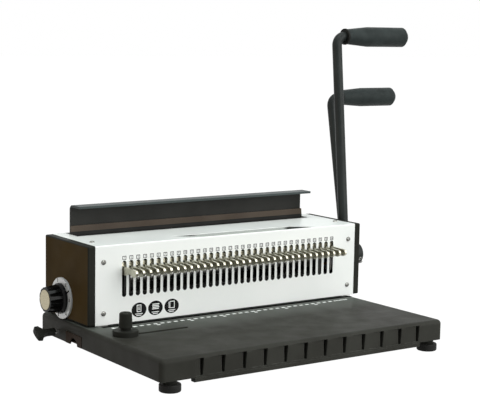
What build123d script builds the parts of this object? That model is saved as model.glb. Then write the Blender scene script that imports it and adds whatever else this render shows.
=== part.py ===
from build123d import *
import math
import os

os.makedirs("parts", exist_ok=True)

# All lengths are millimetres and all angles degrees
# Working frame: X to the right, Y to the back, Z up
# X = 0 is the middle hole gap, Y = 0 the panel face, Z = 0 the paper table

# Allowances
overrun = 1.0
slip = 0.05
running = 0.06
play = 0.4
gap = 0.3
seat_gap = 0.1

# Hole pattern
inch = 25.4
holes_per_inch = 3
hole_count = 34
pitch = inch / holes_per_inch
row_half = pitch * (hole_count - 1) / 2
hole_xs = [-row_half + pitch * i for i in range(hole_count)]

# Side frames, cover and end caps, outwards from the row of holes
frame_margin = 18.9
frame_thick = 12.0
cover_over = 3.8
cap_gap = 0.2
cap_thick = 8.2
cap_round = 1.8
frame_in = row_half + frame_margin
frame_out = frame_in + frame_thick
frame_mid = (frame_in + frame_out) / 2
body_half = frame_out + cover_over
cap_in = body_half + cap_gap
cap_out = cap_in + cap_thick

# Die, punch bar and shafts, backwards from the panel
sheet = 1.2
bend_outer = 1.3
die_front = 6.0
die_wide = 26.0
hole_inset = 12.0
bar_wide = 12.0
punch_behind = 18.3
close_behind = 31.2
jaw_behind = 18.5
jaw_thick = 2.5
jaw_back_gap = 0.8
flange_wide = 8.7
die_back = die_front + die_wide
hole_y = die_front + hole_inset
bar_front = hole_y - bar_wide / 2
bar_back = hole_y + bar_wide / 2
punch_y = hole_y + punch_behind
close_y = punch_y + close_behind
jaw_front = close_y + jaw_behind
jaw_back = jaw_front + jaw_thick
flange_front = jaw_back + jaw_back_gap
body_depth = flange_front + flange_wide

# Heights over the paper table
body_bottom = 1.2
body_top = 86.0
punch_z = 42.8
close_z = 45.0
slot_width = 5.2
slot_low = 29.2
slot_high = 68.1

# Panel screws, notch and top trough
panel_screw_low = 12.5
panel_screw_high = 17.6
panel_screw_zs = [body_bottom + panel_screw_low, body_top - panel_screw_high]
screw_x = frame_mid
top_screw_y = 25.3
notch_half = frame_in + seat_gap
notch_ahead = 17.1
notch_front = jaw_front - notch_ahead
trough_depth = 6.0
trough_near = 2.2
trough_wide = 19.3
trough_far = trough_near + trough_wide
trough_near_shares = (-0.22, 0.68)
trough_far_shares = (-0.40, 0.53)

# Base table
table_reach = 157.0
base_behind = 3.0
base_left_out = 15.4
base_right_in = 2.1
base_taper = 3.2
base_thick = 22.0
base_wall = 5.0
base_round = 5.0
lid_thick = 1.5
lid_clear = 0.4
base_front = -table_reach
base_back = body_depth + base_behind
base_left = -body_half - base_left_out
base_right = body_half - base_right_in
lid_top = -base_thick + lid_thick

# Lower die and punch guide
die_thick = 10.0
pin_side = 4.0
die_hole_side = 4.2
throat = 2.4
stripper_thick = 6.0
throat_margin = 10.1
throat_end = row_half + throat_margin
stripper_top = throat + stripper_thick
seat_wall = 5.4
seat_rim = 4.5
seat_floor = 2.2
seat_half = frame_in + seat_wall
seat_front = die_front - seat_rim
seat_back = die_back + seat_rim
seat_low = -die_thick - seat_floor
chip_margin = 7.3
chip_ahead = 8.0
chip_behind = 10.0
chip_half = row_half + chip_margin
chip_front = hole_y - chip_ahead
chip_back = hole_y + chip_behind

# Punch drive
shaft_r = 7.0
bush_r = 10.0
punch_swing = 75.0
throw = 6.5
eccentric_r = 13.0
half_swing = math.radians(punch_swing / 2)
punch_travel = 2 * throw * math.sin(half_swing)
lobe_y = punch_y - throw * math.cos(half_swing)
lobe_z = punch_z + throw * math.sin(half_swing)
bar_clear = 0.6
shaft_above_bar = 12.8
bar_end_gap = 0.6
ear_long = 9.0
ear_tall = 6.0
bar_half = frame_in - bar_end_gap
bar_low = stripper_top + punch_travel + bar_clear
bar_high = punch_z - shaft_above_bar
ear_x = bar_half - ear_long
ear_low = bar_high - ear_tall
pin_lift = 0.5
pin_tip = throat + pin_lift
lug_inset = 9.7
lug_thick = 8.0
lug_rim = 6.0
lug_root = 3.0
lug_x = row_half - lug_inset
lug_low = bar_high - lug_root
guide_inset = 4.0
guide_over = 14.0
guide_r = 3.0
guide_x = bar_half - guide_inset
guide_top = bar_high + guide_over

# Closing drive
close_swing = 77.0
crank = 16.0
crank_pin_r = 3.5
crank_boss_r = 11.0
crank_eye_r = 7.0
close_half = math.radians(close_swing / 2)
close_travel = 2 * crank * math.sin(close_half)
pin_y = close_y - crank * math.cos(close_half)
pin_z = close_z + crank * math.sin(close_half)
yoke_beside_lug = 27.5
yoke_thick = 5.0
arm_gap = 1.0
arm_thick = 8.0
yoke_ahead = 20.0
yoke_below = 17.0
yoke_under_top = 6.0
yoke_slot_clear = 0.45
yoke_shaft_clear = 0.5
yoke_in = lug_x - yoke_beside_lug
yoke_out = yoke_in + yoke_thick
arm_in = yoke_out + arm_gap
arm_out = arm_in + arm_thick
yoke_front = close_y - yoke_ahead
yoke_low = close_z - yoke_below
yoke_high = body_top - yoke_under_top

# Closing jaw, its guide rods and the spine rail under it
jaw_end_gap = 0.7
jaw_rise = 32.5
jaw_reach = 20.3
jaw_bend = 6.0
jaw_inner_bend = 1.5
jaw_half = frame_in - jaw_end_gap
jaw_low = yoke_low
jaw_top = body_top + jaw_rise
post_margin = 2.3
post_ahead = 5.5
post_r = 3.5
post_under_top = 3.6
post_x = row_half + post_margin
post_y = jaw_front - post_ahead
post_top = body_top - post_under_top
block_half = 7.0
block_ahead = 5.3
block_lift = 2.0
block_tall = 28.0
block_front = post_y - block_ahead
block_low = jaw_low + block_lift
block_high = block_low + block_tall
bracket_side = 8.0
bracket_behind = 4.5
bracket_tall = 6.0
bracket_under_top = 4.0
bracket_in = post_x - bracket_side
bracket_back = post_y + bracket_behind
bracket_high = body_top - bracket_under_top
bracket_low = bracket_high - bracket_tall
rail_gap = 0.6
rail_rise = 9.4
rail_sunk = 2.0
rail_lean = 1.4
rail_back = jaw_front - rail_gap
rail_front = notch_front - sheet
rail_top = body_top + rail_rise
rail_floor = body_top - rail_sunk

# Hook comb
comb_gap = 1.8
comb_thick = 3.0
comb_tall = 13.0
comb_under_slot = 2.1
comb_end_gap = 0.6
comb_front = sheet + comb_gap
comb_back = comb_front + comb_thick
comb_high = slot_high - comb_under_slot
comb_low = comb_high - comb_tall
finger_thick = 2.6
finger_reach = 30.0
finger_shares = [
    (0.0, 0.0), (0.25, -0.015), (0.383, 0.123), (0.517, 0.215), (0.633, 0.138), (0.733, 0.046),
    (0.883, 0.054), (0.98, 0.2), (1.0, 0.4), (0.96, 0.577), (0.867, 0.638), (0.433, 0.662), (0.0, 0.723),
]
channel_wall = 3.6
channel_lip = 3.5
channel_low = 22.0
channel_under_top = 6.0
channel_floor = frame_in - channel_wall
channel_in = channel_floor - channel_lip
channel_front_lip = comb_front - gap
channel_back_lip = comb_back + gap
channel_back = channel_back_lip + sheet
channel_high = body_top - channel_under_top
comb_half = channel_floor - comb_end_gap

# Handles, outwards from the right end cap
rod_r = 5.9
rod_start = 8.0
rod_bend = 11.0
hub_gap = 0.4
hub_clear = 0.6
punch_hub_r = 13.0
punch_hub_long = 25.8
punch_rod_inset = 6.1
punch_shaft_reach = 16.8
punch_bend_to_grip = 14.2
punch_grip_long = 94.0
punch_rod_lean = 25.7
punch_rod_rise = 262.2
close_hub_r = 11.0
close_hub_over = 6.5
close_shaft_reach = 22.8
close_bend_to_grip = 14.2
close_grip_long = 86.0
close_rod_lean = 34.9
close_rod_rise = 184.0
shaft_end_inset = 2.6
punch_hub_in = cap_out + hub_gap
punch_hub_out = punch_hub_in + punch_hub_long
punch_rod_x = punch_hub_in + punch_rod_inset
punch_shaft_right = punch_hub_in + punch_shaft_reach
punch_shaft_left = frame_out - shaft_end_inset
punch_grip_in = punch_rod_x + punch_bend_to_grip
punch_grip_out = punch_grip_in + punch_grip_long
punch_top = (punch_y + punch_rod_lean, punch_z + punch_rod_rise)
close_rod_x = punch_hub_out + hub_clear + rod_r
close_hub_out = close_rod_x + close_hub_over
close_shaft_right = punch_hub_in + close_shaft_reach
close_grip_in = close_rod_x + close_bend_to_grip
close_grip_out = close_grip_in + close_grip_long
close_top = (close_y + close_rod_lean, close_z + close_rod_rise)
grip_neck_r = 9.0
grip_r = 12.0
close_grip_r = 11.6
grip_taper = 33.0
grip_dome = 5.0
grip_dome_r = 7.5
rod_end_inside = 6.0
collar_r = 9.8
collar_wide = 3.0

# Closing size dial, outwards from the left end cap
dial_ahead = 10.8
dial_below = 22.4
scale_r = 22.3
scale_thick = 2.4
spindle_r = 3.0
spindle_cover = 3.0
knob_gap = 0.4
knob_long = 18.2
skirt_r = 16.5
skirt_wide = 2.4
skirt_slope = 1.4
knob_inner_r = 15.2
knob_outer_r = 13.4
knob_cap_r = 10.8
knob_cap_thick = 1.0
knob_cap_proud = 0.5
flute_count = 12
flute_r = 2.3
flute_ring = 15.2
flute_stop = 2.0
dial_y = close_y - dial_ahead
dial_z = close_z - dial_below
knob_in = cap_out + scale_thick + knob_gap
knob_out = knob_in + knob_long
spindle_out = knob_out - spindle_cover

# Size cam and stop finger between the left frame and its end cap
cam_gap = 0.8
cam_thick = 2.8
cam_small = 5.0
cam_large = 8.0
cam_points = 48
cam_clear = 0.37
finger_tip_r = 2.5
finger_boss_r = 9.5
cam_in = frame_out + cam_gap
cam_out = cam_in + cam_thick
spindle_in = cam_in - cap_gap
close_shaft_left = cam_out
cam_distance = math.hypot(dial_ahead, dial_below)
finger_arm = cam_distance - cam_large - cam_clear - finger_tip_r
cap_post_r = 5.0
cap_post_inset = 12.0
cap_post_drop = 10.0
cap_post_ys = [cap_post_inset, body_depth - cap_post_inset]
cap_post_zs = [cap_post_inset, body_top - cap_post_drop]

# Margin lever and depth stop
margin_ahead = 10.0
margin_lift = 8.5
margin_r = 2.0
margin_y = close_y - margin_ahead
margin_z = -base_thick + margin_lift
lever_gap = 2.3
lever_long = 22.7
lever_half = 8.6
lever_tilt = 30.0
lever_thick = 6.0
lever_soft = 1.2
lever_shares = [
    (0.0, 0.326), (0.434, 0.326), (0.594, 0.465), (0.703, 0.767),
    (0.749, 1.0), (0.95, 0.953), (0.986, 0.581), (1.0, 0.0),
]
lever_in = lever_gap - base_left
lever_grip = 6.2
margin_left = lever_in + lever_grip
link_x = 51.0
link_thick = 4.0
link_gap = 1.0
link_half = 5.0
link_foot = 2.8
link_slot_clear = 0.35
rocker_arm = 5.2
rocker_boss_r = 3.5
rocker_eye_r = 3.0
rocker_pin_r = 1.6
rocker_pin_over = 0.5
rocker_z = margin_z + rocker_arm
link_out = link_x + link_thick
rocker_in = link_out + link_gap
rocker_out = rocker_in + link_thick
rocker_pin_in = link_x - rocker_pin_over
bearing_gap = 4.0
bearing_long = 7.0
bearing_half = 6.0
bearing_below = 4.2
bearing_in = rocker_out + bearing_gap
bearing_out = bearing_in + bearing_long
margin_end = 3.0
margin_right = bearing_out + margin_end
stop_behind = 5.5
stop_wide = 6.5
stop_margin = 3.3
stop_lift = 0.5
stop_arm_side = 2.0
stop_front = hole_y + stop_behind
stop_back = stop_front + stop_wide
stop_half = row_half + stop_margin
stop_low = stop_lift
stop_high = throat - stop_lift
stop_arm_in = link_x - stop_arm_side

# Edge stop
edge_forward = 47.0
edge_inset = 9.4
edge_slot_over = 5.5
edge_slot_long = 81.5
edge_slot_width = 6.4
edge_disc_r = 13.4
edge_lift = 0.1
edge_disc_thick = 5.5
edge_soft = 0.8
stud_r = 3.0
stud_rise = 11.4
nut_half = 6.0
nut_drop = 0.3
nut_thick = 3.5
edge_y = -edge_forward
edge_x = -body_half + edge_inset
edge_slot_left = edge_x - edge_slot_over
edge_slot_mid = edge_slot_left + edge_slot_long / 2
knob_height = 17.8
knob_foot_r = 5.5
knob_foot = 1.6
knob_low_r = 7.0
knob_top_r = 6.5
knob_lead = 0.9
knob_crown = 1.0
knob_dimple_r = 2.4
knob_dimple = 0.6

# Chip tray
tray_out = 12.3
tray_margin = 5.3
tray_wall = 1.5
tray_lift = 1.8
tray_gap = 0.5
tray_ahead = 12.0
tray_behind = 20.4
tray_left = body_half + tray_out
tray_right = row_half + tray_margin
tray_front = hole_y - tray_ahead
tray_back = hole_y + tray_behind
tray_low = -base_thick + tray_lift
tray_top = seat_low - tray_gap
tray_end_thick = 1.5
tray_end_side = 1.1
tray_end_over = 2.8
tray_end_under = 1.7
tray_end = tray_left + tray_end_thick
tray_end_front = tray_front - tray_end_side
tray_end_back = tray_back + tray_end_side
tray_end_low = tray_low - tray_end_under
tray_end_top = tray_top + tray_end_over
mouth_front = tray_end_front - gap
mouth_back = tray_end_back + gap
mouth_top = tray_end_top + gap
arch_r = 8.0
arch_rise = 6.0
arch_y = (tray_front + tray_back) / 2
arch_z = tray_low + arch_rise - arch_r

# Louvres and lip of the base front
louvre_count = 12
louvre_long = 21.0
louvre_inset = 47.4
louvre_top = 3.2
louvre_bottom = 20.3
louvre_deep = 1.8
louvre_slit = 2.6
louvre_slit_low = 1.9
louvre_lean = 1.3
lip_over = 9.0
lip_past = 2.3
lip_deep = 7.0
lip_drop = 4.5
lip_soft = 0.8
louvre_first = base_left + louvre_inset
lip_left = louvre_first - lip_over
lip_right = louvre_first + inch * (louvre_count - 1) + lip_past
lip_back = base_front + lip_deep

# Feet and screws
foot_height = 12.5
foot_left_inset = 16.8
foot_right_inset = 12.3
foot_front_inset = 11.0
foot_back_inset = 15.0
foot_back_in = 42.0
post_neck_r = 7.0
post_neck = 4.5
bumper_r = 11.0
bumper_soft = 1.5
bumper_well_r = 5.4
bumper_well = 5.0
boss_r = 5.7
foot_screw_r = 2.5
foot_head_r = 4.6
foot_head = 3.0
foot_screw_bite = 11.0
foot_screw_top = -base_thick + foot_screw_bite
screw_r = 1.5
screw_head_r = 2.8
screw_head = 1.8
screw_length = 10.0
screw_soft = 0.9

# Springs
wire_r = 0.6
punch_spring_r = 3.9
punch_spring_turns = 3.5
close_spring_r = 4.6
close_spring_turns = 6.0

# Drawing origin: the middle of the footprint, on the floor
reach_left = lever_in + lever_long
reach_right = close_grip_out
reach_back = close_top[0] + close_grip_r
floor_z = -base_thick - foot_height
origin = (
    (reach_right - reach_left) / 2,
    (reach_back + base_front) / 2,
    floor_z,
)


def slab(x, y, z):
    middle = ((x[0] + x[1]) / 2, (y[0] + y[1]) / 2, (z[0] + z[1]) / 2)
    return Pos(*middle) * Box(abs(x[1] - x[0]), abs(y[1] - y[0]), abs(z[1] - z[0]))


def both(side, low, high):
    return (min(side * low, side * high), max(side * low, side * high))


def round_x(y, z, radius, x):
    middle = (x[0] + x[1]) / 2
    return Pos(middle, y, z) * Rot(0, 90, 0) * Cylinder(radius, abs(x[1] - x[0]))


def round_y(x, z, radius, y):
    middle = (y[0] + y[1]) / 2
    return Pos(x, middle, z) * Rot(90, 0, 0) * Cylinder(radius, abs(y[1] - y[0]))


def round_z(x, y, radius, z):
    middle = (z[0] + z[1]) / 2
    return Pos(x, y, middle) * Cylinder(radius, abs(z[1] - z[0]))


def profile_x(points, x):
    plane = Plane.YZ.offset(min(x))
    face = plane * Polygon(*points, align=None)
    return extrude(face, amount=abs(x[1] - x[0]), dir=plane.z_dir)


def profile_y(points, y):
    plane = Plane.XZ.offset(-max(y))
    face = plane * Polygon(*points, align=None)
    return extrude(face, amount=abs(y[1] - y[0]), dir=plane.z_dir)


def profile_z(points, z):
    plane = Plane.XY.offset(min(z))
    face = plane * Polygon(*points, align=None)
    return extrude(face, amount=abs(z[1] - z[0]), dir=plane.z_dir)


def turned_x(points, y, z):
    face = make_face(Polyline(*[(x, radius) for x, radius in points], close=True))
    return Pos(0, y, z) * revolve(face, axis=Axis.X)


def turned_z(points, x, y):
    face = Plane.XZ * make_face(Polyline(*[(radius, z) for radius, z in points], close=True))
    return Pos(x, y, 0) * revolve(face, axis=Axis.Z)


def arm(x, start, end, start_r, end_r):
    # A flat link across two eyes, in a plane square to X
    dy = end[0] - start[0]
    dz = end[1] - start[1]
    long = math.hypot(dy, dz)
    side_y = -dz / long
    side_z = dy / long
    corners = [
        (start[0] + side_y * start_r, start[1] + side_z * start_r),
        (end[0] + side_y * end_r, end[1] + side_z * end_r),
        (end[0] - side_y * end_r, end[1] - side_z * end_r),
        (start[0] - side_y * start_r, start[1] - side_z * start_r),
    ]
    link = profile_x(corners, x)
    link += round_x(start[0], start[1], start_r, x)
    link += round_x(end[0], end[1], end_r, x)
    return link


def spring(x, y, low, high, radius, turns):
    height = high - low - 2 * wire_r - 2 * gap
    path = Helix(pitch=height / turns, height=height, radius=radius)
    wire = sweep(Plane(path @ 0, z_dir=path % 0) * Circle(wire_r), path=path)
    return Pos(x, y, low + wire_r + gap) * wire


sides = [-1, 1]

# Base table
def base_outline(inset):
    return [
        (base_left + inset, base_front + inset),
        (base_right - inset, base_front + inset),
        (base_right - base_taper - inset, base_back - inset),
        (base_left + base_taper + inset, base_back - inset),
    ]


feet_xy = []
feet_rows = [(base_front + foot_front_inset, 0), (base_back - foot_back_inset, foot_back_in)]
for foot_y, inwards in feet_rows:
    narrowing = base_taper * (foot_y - base_front) / (base_back - base_front) + inwards
    feet_xy.append((base_left + narrowing + foot_left_inset, foot_y))
    feet_xy.append((base_right - narrowing - foot_right_inset, foot_y))

base_table = profile_z(base_outline(0), (-base_thick, 0))
base_table = fillet(base_table.edges().filter_by(Axis.Z), base_round)
base_table = fillet(base_table.faces().sort_by(Axis.Z)[-1].edges(), base_round - gap)
base_table -= profile_z(base_outline(base_wall), (-base_thick - overrun, -base_wall))
die_pocket = slab(
    (-frame_in - gap, frame_in + gap), (die_front - gap, die_back + gap), (-die_thick, overrun)
)
die_seat = slab((-seat_half, seat_half), (seat_front, seat_back), (seat_low, -base_wall))
die_seat -= slab((-chip_half, chip_half), (chip_front, chip_back), (seat_low - overrun, 0))
die_seat -= die_pocket
base_table -= die_pocket
foot_bosses = []
for x, y in feet_xy:
    boss = round_z(x, y, boss_r, (lid_top, -base_wall))
    hole = round_z(x, y, foot_screw_r + slip, (lid_top - overrun, foot_screw_top + overrun))
    foot_bosses.append(boss - hole)
margin_bearings = []
for side in sides:
    bearing = slab(
        both(side, bearing_in, bearing_out),
        (margin_y - bearing_half, margin_y + bearing_half),
        (margin_z - bearing_below, -base_wall),
    )
    span = both(side, bearing_in - overrun, bearing_out + overrun)
    margin_bearings.append(bearing - round_x(margin_y, margin_z, margin_r + running, span))
    base_table -= slab(
        both(side, link_x - play, link_out + play),
        (margin_y - 2 * link_half, margin_y + 2 * link_half),
        (-base_wall - overrun, overrun),
    )
    base_table -= round_z(side * post_x, post_y, post_r + slip, (-base_wall - overrun, overrun))
base_table -= round_x(margin_y, margin_z, margin_r + running, (base_left - overrun, -body_half))
base_table -= slab(
    (base_left - overrun, -body_half + base_wall),
    (mouth_front, mouth_back),
    (-base_thick - overrun, mouth_top),
)
edge_slot = Pos(edge_slot_mid, edge_y, -base_wall - overrun) * SlotOverall(edge_slot_long, edge_slot_width)
base_table -= extrude(edge_slot, amount=base_wall + 2 * overrun)
for i in range(louvre_count):
    right = louvre_first + inch * i
    left = max(right - louvre_long, lip_left)
    ramp = [
        (left, base_front), (left, base_front - overrun),
        (right, base_front - overrun), (right, base_front + louvre_deep),
    ]
    slit = [
        (right - louvre_slit, -louvre_top), (right + louvre_lean, -louvre_top),
        (right, -louvre_bottom), (right - louvre_slit_low, -louvre_bottom),
    ]
    base_table -= profile_z(ramp, (-louvre_bottom, -louvre_top))
    base_table -= profile_y(slit, (base_front - overrun, base_front + base_wall + overrun))

bottom_plate = profile_z(base_outline(base_wall + lid_clear), (-base_thick, lid_top))
for x, y in feet_xy:
    bottom_plate -= round_z(x, y, foot_screw_r + slip, (-base_thick - overrun, lid_top + overrun))

front_lip = slab((lip_left, lip_right), (base_front, lip_back), (-base_thick - lip_drop, -base_thick))
front_lip = fillet(front_lip.faces().sort_by(Axis.Z)[0].edges().filter_by(Axis.X), lip_soft)

# Feet
neck_low = -base_thick - post_neck
foot_posts = []
foot_bumpers = []
foot_screws = []
for x, y in feet_xy:
    neck = round_z(x, y, post_neck_r, (neck_low, -base_thick))
    neck -= round_z(x, y, foot_screw_r + slip, (neck_low - overrun, 0))
    foot_posts.append(neck)
    bumper = round_z(x, y, bumper_r, (floor_z, neck_low))
    bumper = fillet(bumper.edges(), bumper_soft)
    bumper -= round_z(x, y, foot_screw_r + slip, (floor_z - overrun, 0))
    bumper -= round_z(x, y, bumper_well_r, (floor_z - overrun, floor_z + bumper_well))
    foot_bumpers.append(bumper)
    head_top = floor_z + bumper_well
    foot_screws.append(
        round_z(x, y, foot_head_r, (head_top - foot_head, head_top))
        + round_z(x, y, foot_screw_r, (head_top, foot_screw_top))
    )

# Front cover with its slots, notch and top trough
front_cover = slab((-body_half, body_half), (0, body_depth), (body_bottom, body_top))
front_cover = fillet(
    front_cover.edges().filter_by(Axis.X).sort_by(Axis.Z)[-2:].sort_by(Axis.Y)[0:1], bend_outer
)
front_cover -= slab(
    (-body_half - overrun, body_half + overrun),
    (sheet, body_depth + overrun),
    (body_bottom - overrun, body_top - sheet),
)
slot_z = (slot_low + slot_high) / 2
slot_row = Sketch() + [
    Pos(x, slot_z) * SlotOverall(slot_high - slot_low, slot_width, rotation=90) for x in hole_xs
]
front_cover -= extrude(Plane.XZ * slot_row, amount=sheet + overrun, both=True)
front_cover -= slab(
    (-notch_half, notch_half),
    (notch_front, body_depth + overrun),
    (body_top - 2 * sheet, body_top + overrun),
)


def trough_outline(grow):
    near = [body_half * share for share in trough_near_shares]
    far = [body_half * share for share in trough_far_shares]
    return [
        (far[0] - grow, trough_far + grow),
        (near[0] - grow, trough_near - grow),
        (near[1] + grow, trough_near - grow),
        (far[1] + grow, trough_far + grow),
    ]


trough_floor = body_top - trough_depth
front_cover += profile_z(trough_outline(sheet), (trough_floor - sheet, body_top - bend_outer))
front_cover -= profile_z(trough_outline(0), (trough_floor, body_top + overrun))
for side in sides:
    for z in panel_screw_zs:
        front_cover -= round_y(side * screw_x, z, screw_r + slip, (-overrun, sheet + overrun))
    front_cover -= round_z(
        side * screw_x, top_screw_y, screw_r + slip, (body_top - 2 * sheet, body_top + overrun)
    )

cover_screws = []
for side in sides:
    for z in panel_screw_zs:
        head = round_y(side * screw_x, z, screw_head_r, (-screw_head, 0))
        head = fillet(head.edges().sort_by(Axis.Y)[0], screw_soft)
        cover_screws.append(head + round_y(side * screw_x, z, screw_r, (0, screw_length)))
    head = round_z(side * screw_x, top_screw_y, screw_head_r, (body_top, body_top + screw_head))
    head = fillet(head.edges().sort_by(Axis.Z)[-1], screw_soft)
    cover_screws.append(
        head + round_z(side * screw_x, top_screw_y, screw_r, (body_top - screw_length, body_top))
    )

rear_cover = slab(
    (-body_half, body_half), (body_depth - sheet, body_depth), (body_bottom, body_top - sheet)
)
rear_cover += slab((-frame_in, frame_in), (flange_front, body_depth), (body_top - sheet, body_top))

# Side frames with their shaft bushes
side_frames = []
shaft_bushes = []
for side in sides:
    span = both(side, frame_in, frame_out)
    frame = slab(span, (sheet, body_depth - sheet), (0, body_top - sheet))
    for y, z in [(punch_y, punch_z), (close_y, close_z)]:
        frame -= round_x(y, z, bush_r, both(side, frame_in - overrun, frame_out + overrun))
        bush = round_x(y, z, bush_r, span)
        bush -= round_x(y, z, shaft_r + running, both(side, frame_in - overrun, frame_out + overrun))
        shaft_bushes.append(bush)
    for z in panel_screw_zs:
        frame -= round_y(side * screw_x, z, screw_r + slip, (0, screw_length + overrun))
    frame -= round_z(
        side * screw_x, top_screw_y, screw_r + slip, (body_top - screw_length - overrun, body_top)
    )
    if side < 0:
        spindle_end = both(side, frame_out - sheet, frame_out + overrun)
        frame -= round_x(dial_y, dial_z, spindle_r + play, spindle_end)
    side_frames.append(frame)

# End caps
end_caps = []
for side in sides:
    cap = slab(both(side, cap_in, cap_out), (0, body_depth), (body_bottom, body_top))
    cap = fillet(cap.edges().filter_by(Axis.X), cap_round)
    outer = cap.faces().sort_by(Axis.X)[-1 if side > 0 else 0]
    cap = fillet(outer.edges(), cap_round - gap)
    for y in cap_post_ys:
        for z in cap_post_zs:
            cap += round_x(y, z, cap_post_r, both(side, frame_out, cap_in))
    through = both(side, cap_in - overrun, cap_out + overrun)
    if side > 0:
        cap -= round_x(punch_y, punch_z, shaft_r + play, through)
        cap -= round_x(close_y, close_z, shaft_r + play, through)
    else:
        cap -= round_x(dial_y, dial_z, spindle_r + running, through)
    end_caps.append(cap)

# Lower die, stripper and the guide pins between them
lower_die = slab((-frame_in, frame_in), (die_front, die_back), (-die_thick, 0))
punch_guide = slab((-frame_in, frame_in), (die_front, die_back), (throat, throat + stripper_thick))
for side in sides:
    punch_guide += slab(both(side, throat_end, frame_in), (die_front, die_back), (0, throat))
for x in hole_xs:
    half = die_hole_side / 2
    square = ((x - half, x + half), (hole_y - half, hole_y + half))
    lower_die -= slab(square[0], square[1], (-die_thick - overrun, overrun))
    punch_guide -= slab(square[0], square[1], (throat - overrun, stripper_top + overrun))
guide_pins = []
for side in sides:
    lower_die -= round_z(side * guide_x, hole_y, guide_r, (-die_thick - overrun, overrun))
    punch_guide -= round_z(side * guide_x, hole_y, guide_r, (-overrun, stripper_top + overrun))
    guide_pins.append(round_z(side * guide_x, hole_y, guide_r, (-die_thick, guide_top)))

# Punch bar with yokes, and its square punches
window_front = punch_y - throw - eccentric_r - play
window_back = lobe_y + eccentric_r + play
punch_bar = slab((-bar_half, bar_half), (bar_front, bar_back), (bar_low, bar_high))
for side in sides:
    punch_bar -= slab(
        both(side, ear_x, bar_half + overrun),
        (bar_front - overrun, bar_back + overrun),
        (bar_low - overrun, ear_low),
    )
    yoke = slab(
        both(side, lug_x - lug_thick / 2, lug_x + lug_thick / 2),
        (window_front - lug_rim, window_back + lug_rim),
        (lug_low, lobe_z + eccentric_r + play + lug_rim),
    )
    punch_bar += yoke
    punch_bar -= slab(
        both(side, lug_x - lug_thick, lug_x + lug_thick),
        (window_front, window_back),
        (lobe_z - eccentric_r - play, lobe_z + eccentric_r + play),
    )
    punch_bar -= round_z(side * guide_x, hole_y, guide_r + running, (0, bar_high + overrun))
punch_pins = []
for x in hole_xs:
    half = pin_side / 2
    loose = half + slip / 2
    punch_bar -= slab(
        (x - loose, x + loose), (hole_y - loose, hole_y + loose), (bar_low - overrun, bar_high + overrun)
    )
    punch_pins.append(slab((x - half, x + half), (hole_y - half, hole_y + half), (pin_tip, bar_high)))

# Punch shaft with its two eccentrics
punch_shaft = round_x(punch_y, punch_z, shaft_r, (-punch_shaft_left, punch_shaft_right))
for side in sides:
    punch_shaft += round_x(
        lobe_y, lobe_z, eccentric_r, both(side, lug_x - lug_thick / 2, lug_x + lug_thick / 2)
    )

# Closing shaft with its two cranks and the stop finger
closing_shaft = round_x(close_y, close_z, shaft_r, (-close_shaft_left, close_shaft_right))
for side in sides:
    closing_shaft += arm(
        both(side, arm_in, arm_out), (close_y, close_z), (pin_y, pin_z), crank_boss_r, crank_eye_r
    )
    closing_shaft += round_x(pin_y, pin_z, crank_pin_r, both(side, yoke_in - overrun, arm_in))

toward = math.atan2(dial_z - close_z, dial_y - close_y) - math.radians(close_swing)
tip = (close_y + finger_arm * math.cos(toward), close_z + finger_arm * math.sin(toward))
finger_span = (-cam_out, -cam_in)
stop_finger = arm(finger_span, (close_y, close_z), tip, finger_boss_r, finger_tip_r)
stop_finger -= round_x(close_y, close_z, shaft_r, (-cam_out - overrun, -cam_in + overrun))

# Closing jaw with yokes and bush blocks
jaw_lip = jaw_back - jaw_reach - jaw_thick
closing_jaw = profile_x(
    [
        (jaw_front, jaw_low), (jaw_back, jaw_low), (jaw_back, jaw_top),
        (jaw_lip, jaw_top), (jaw_lip, jaw_top - jaw_thick), (jaw_front, jaw_top - jaw_thick),
    ],
    (-jaw_half, jaw_half),
)
jaw_edges = closing_jaw.edges().filter_by(Axis.X)
outer_edge = jaw_edges.sort_by_distance((0, jaw_back, jaw_top))[0]
closing_jaw = fillet(outer_edge, jaw_bend)
jaw_edges = closing_jaw.edges().filter_by(Axis.X)
inner_edge = jaw_edges.sort_by_distance((0, jaw_front, jaw_top - jaw_thick))[0]
closing_jaw = fillet(inner_edge, jaw_inner_bend)

jaw_yokes = []
jaw_bushes = []
for side in sides:
    plate = slab(both(side, yoke_in, yoke_out), (yoke_front, jaw_front), (yoke_low, yoke_high))
    wide = both(side, yoke_in - overrun, yoke_out + overrun)
    plate -= slab(
        wide,
        (close_y - shaft_r - yoke_shaft_clear, close_y + shaft_r + yoke_shaft_clear),
        (close_z - shaft_r - yoke_shaft_clear, close_z + close_travel + shaft_r + yoke_shaft_clear),
    )
    plate -= slab(
        wide,
        (yoke_front - overrun, close_y),
        (pin_z - crank_pin_r - yoke_slot_clear, pin_z + crank_pin_r + yoke_slot_clear),
    )
    jaw_yokes.append(plate)
    block = slab(
        (side * post_x - block_half, side * post_x + block_half),
        (block_front, jaw_front),
        (block_low, block_high),
    )
    block -= round_z(side * post_x, post_y, post_r + running, (block_low - overrun, block_high + overrun))
    jaw_bushes.append(block)

guide_rods = []
rod_brackets = []
for side in sides:
    guide_rods.append(round_z(side * post_x, post_y, post_r, (-base_wall, post_top)))
    bracket = slab(
        both(side, bracket_in, frame_in), (block_front, bracket_back), (bracket_low, bracket_high)
    )
    bracket -= round_z(side * post_x, post_y, post_r, (bracket_low - overrun, bracket_high + overrun))
    rod_brackets.append(bracket)

# Fixed spine rail under the jaw
spine_guide = profile_x(
    [
        (rail_front, rail_floor - sheet), (rail_back, rail_floor - sheet),
        (rail_back, rail_top), (rail_back - sheet, rail_top),
        (rail_back - sheet - rail_lean, rail_floor), (rail_front, rail_floor),
    ],
    (-frame_in, frame_in),
)

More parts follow.
